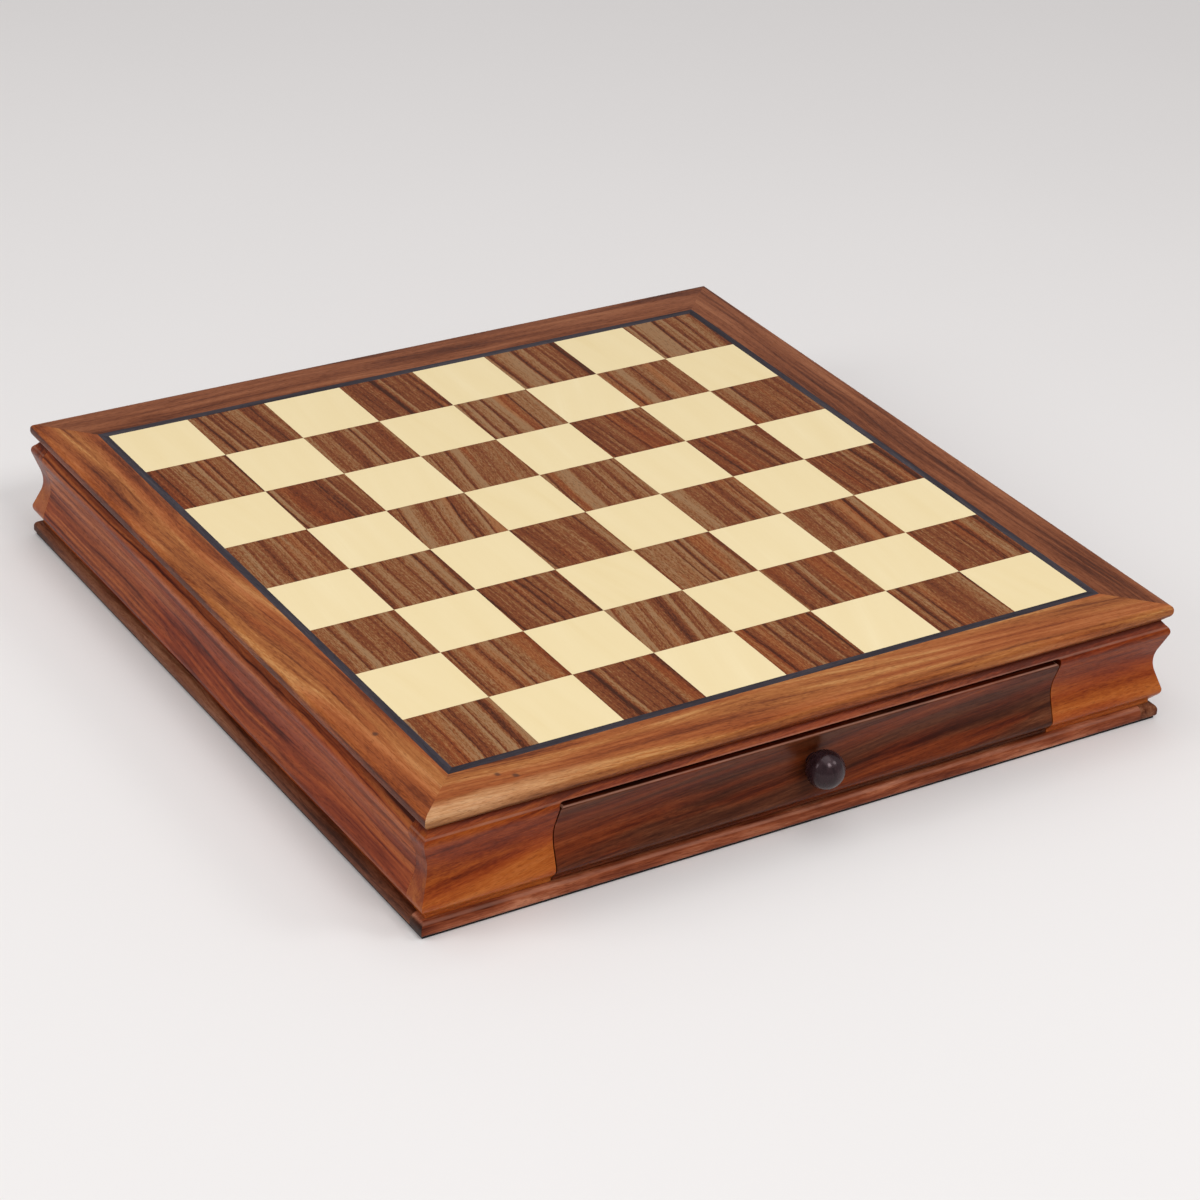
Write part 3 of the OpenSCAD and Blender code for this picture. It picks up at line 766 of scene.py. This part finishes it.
def build_drawer(name, seed):
    # Drawer front: a pale line painted along the upper arris as a highlight, and the flat top painted dark
    # as the shade in the gap above it
    face = wood(f"face_wood_{name}", ROSEWOOD_TONES, "x", seed, figure=FACE_FIGURE, tint=ROSEWOOD_RED,
                slope=(0.0, -0.1), lie=(0.3, 1.0), ring=12.0, rings=0.2, rough=0.3, gloss=0.22,
                painted_highlights=((55.0, 0.5, 0.6),), painted_light_and_shade=((55.35, 55.45, -0.45),))
    knob = wood(f"knob_wood_{name}", KNOB_TONES, "z", seed + 1, ring=3.0, rings=0.15, pores=0.1,
                rough=0.22, gloss=0.4, sheen=(255, 230, 235), end=1)
    stand_for(f"{name}_drawer_face_wood", drawer_face(), f"{name}_drawer_face", face, FACE_EDGE_ARRIS,
              TURN[name])
    dress(f"{name}_drawer_knob", knob)
    dress(f"{name}_drawer_knob_screw", metal(f"steel_{name}", (150, 152, 156), (205, 207, 210), 0.3))
    along = wood(f"drawer_wood_sides_{name}", DRAWER_TONES, "y", seed + 2, rough=0.5)
    across = wood(f"drawer_wood_back_{name}", DRAWER_TONES, "x", seed + 3, rough=0.5)
    for part in ("side_left", "side_right", "back"):
        low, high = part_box(f"{name}_drawer_{part}")
        low.z = Z_SEAM + SLIDE_GAP
        low.y, high.y = max(low.y, -APRON_IN), min(high.y, APRON_IN)
        timber = across if part == "back" else along
        stand_for(f"{name}_drawer_{part}_wood", slab(low, high), f"{name}_drawer_{part}", timber, BOX_ARRIS)
    dress(f"{name}_drawer_floor", across)
    build_lining(name)


def build_lining(name):
    """Felt on the floor and the walls, and the felt-covered dividers, half-lapped where they cross."""
    cloth = felt(f"green_felt_{name}", (14, 44, 30), (40, 92, 66), 0.35)
    prefix = f"{name}_drawer_"
    low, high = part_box(prefix + "floor_felt")
    obj = stand_for(prefix + "floor_cloth", slab(low, high), prefix + "floor_felt", cloth, LINING_ARRIS)

    long_low, long_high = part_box(prefix + "long_divider")
    low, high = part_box(prefix + "wall_felt")
    walls = band(low, high, long_low.x - low.x)
    obj = stand_for(prefix + "wall_cloth", walls, prefix + "wall_felt", cloth, LINING_ARRIS)

    low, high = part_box(prefix + "cross_dividers")
    thickness = long_high.y - long_low.y
    slot = thickness / 2 + LAP_PLAY
    lap = (low.z + high.z) / 2
    middle = (long_low.y + long_high.y) / 2
    first = low.x + thickness / 2
    pitch = (high.x - low.x - thickness) / (DIVIDERS - 1)
    centres = [first + i * pitch for i in range(DIVIDERS)]

    bm = bmesh.new()
    outline = [(long_low.x, low.z)]
    for centre in centres:
        outline += [(centre - slot, low.z), (centre - slot, lap + LAP_PLAY),
                    (centre + slot, lap + LAP_PLAY), (centre + slot, low.z)]
    outline += [(long_high.x, low.z), (long_high.x, high.z), (long_low.x, high.z)]
    add_plate(bm, outline, "y", long_low.y, long_high.y)
    stand_for(prefix + "long_divider_cloth", bm, prefix + "long_divider", cloth, DIVIDER_ROUND, 0, 3)

    bm = bmesh.new()
    outline = [(low.y, low.z), (high.y, low.z), (high.y, high.z), (middle + slot, high.z),
               (middle + slot, lap), (middle - slot, lap), (middle - slot, high.z), (low.y, high.z)]
    for centre in centres:
        add_plate(bm, outline, "x", centre - thickness / 2, centre + thickness / 2)
    stand_for(prefix + "cross_dividers_cloth", bm, prefix + "cross_dividers", cloth, DIVIDER_ROUND, 0, 3)


# ---------------------------------------------------------------- stage

# Place and turn of the camera, found from the corners of the board's squares
CAMERA_AT = (-0.9322, -1.4260, 0.9709)
CAMERA_TURN = (60.680, -3.154, -31.784)
LENS = 102.786
FLOOR_REACH = 30
FLOOR_COLOUR = (237, 235, 234)
FLOOR_CLOUDS = 0.002
SKY_COLOUR = (246, 243, 243)
SKY_STRENGTH = 0.46
# Square lamps that face the origin: place, side, watts
LAMPS = {
    "overhead": ((0.0, -0.1, 2.7), 2.2, 20),
    "front_softbox": ((-0.05, -1.4, 1.7), 0.6, 11),
    "left_softbox": ((-1.7, 0.3, 1.05), 0.7, 9),
    "right_softbox": ((1.1, -1.1, 1.55), 0.55, 5),
}


def stage_floor():
    g = Graph("pale_floor")
    cloud = g.noise(g.xyz(*(g.times(at, FLOOR_CLOUDS) for at in g.place())), 2)
    colour = g.ramp(cloud, [[c - 3 for c in FLOOR_COLOUR], [c + 1 for c in FLOOR_COLOUR]])
    bpy.ops.mesh.primitive_plane_add(size=FLOOR_REACH)
    floor = bpy.context.object
    floor.name = "floor"
    floor.data.materials.append(g.finish(colour, 0.9, None, Specular_IOR_Level=0.2))


def area_light(name, at, size, watts):
    data = bpy.data.lights.new(name, "AREA")
    data.shape = "SQUARE"
    data.size = size
    data.energy = watts
    lamp = bpy.data.objects.new(name, data)
    lamp.location = at
    lamp.rotation_euler = (-Vector(at)).to_track_quat("-Z", "Y").to_euler()
    bpy.context.scene.collection.objects.link(lamp)


def stage_light():
    world = bpy.data.worlds.new("studio")
    bpy.context.scene.world = world
    world.use_nodes = True
    background = world.node_tree.nodes["Background"]
    background.inputs["Color"].default_value = linear(SKY_COLOUR)
    background.inputs["Strength"].default_value = SKY_STRENGTH
    for name, (at, size, watts) in LAMPS.items():
        area_light(name, at, size, watts)


def stage_camera():
    data = bpy.data.cameras.new("camera")
    data.sensor_width = 36
    data.lens = LENS
    data.clip_end = 100
    camera = bpy.data.objects.new("camera", data)
    camera.location = CAMERA_AT
    camera.rotation_euler = [math.radians(turn) for turn in CAMERA_TURN]
    bpy.context.scene.collection.objects.link(camera)
    bpy.context.scene.camera = camera


stage_camera()
build_frame()
build_aprons()
build_base()
build_board()
build_carcass()
for number, drawer in enumerate(DRAWERS):
    build_drawer(drawer, DRAWER_SEED + SEEDS_PER_DRAWER * number)
stage_floor()
stage_light()
bpy.context.scene.view_settings.view_transform = "Standard"
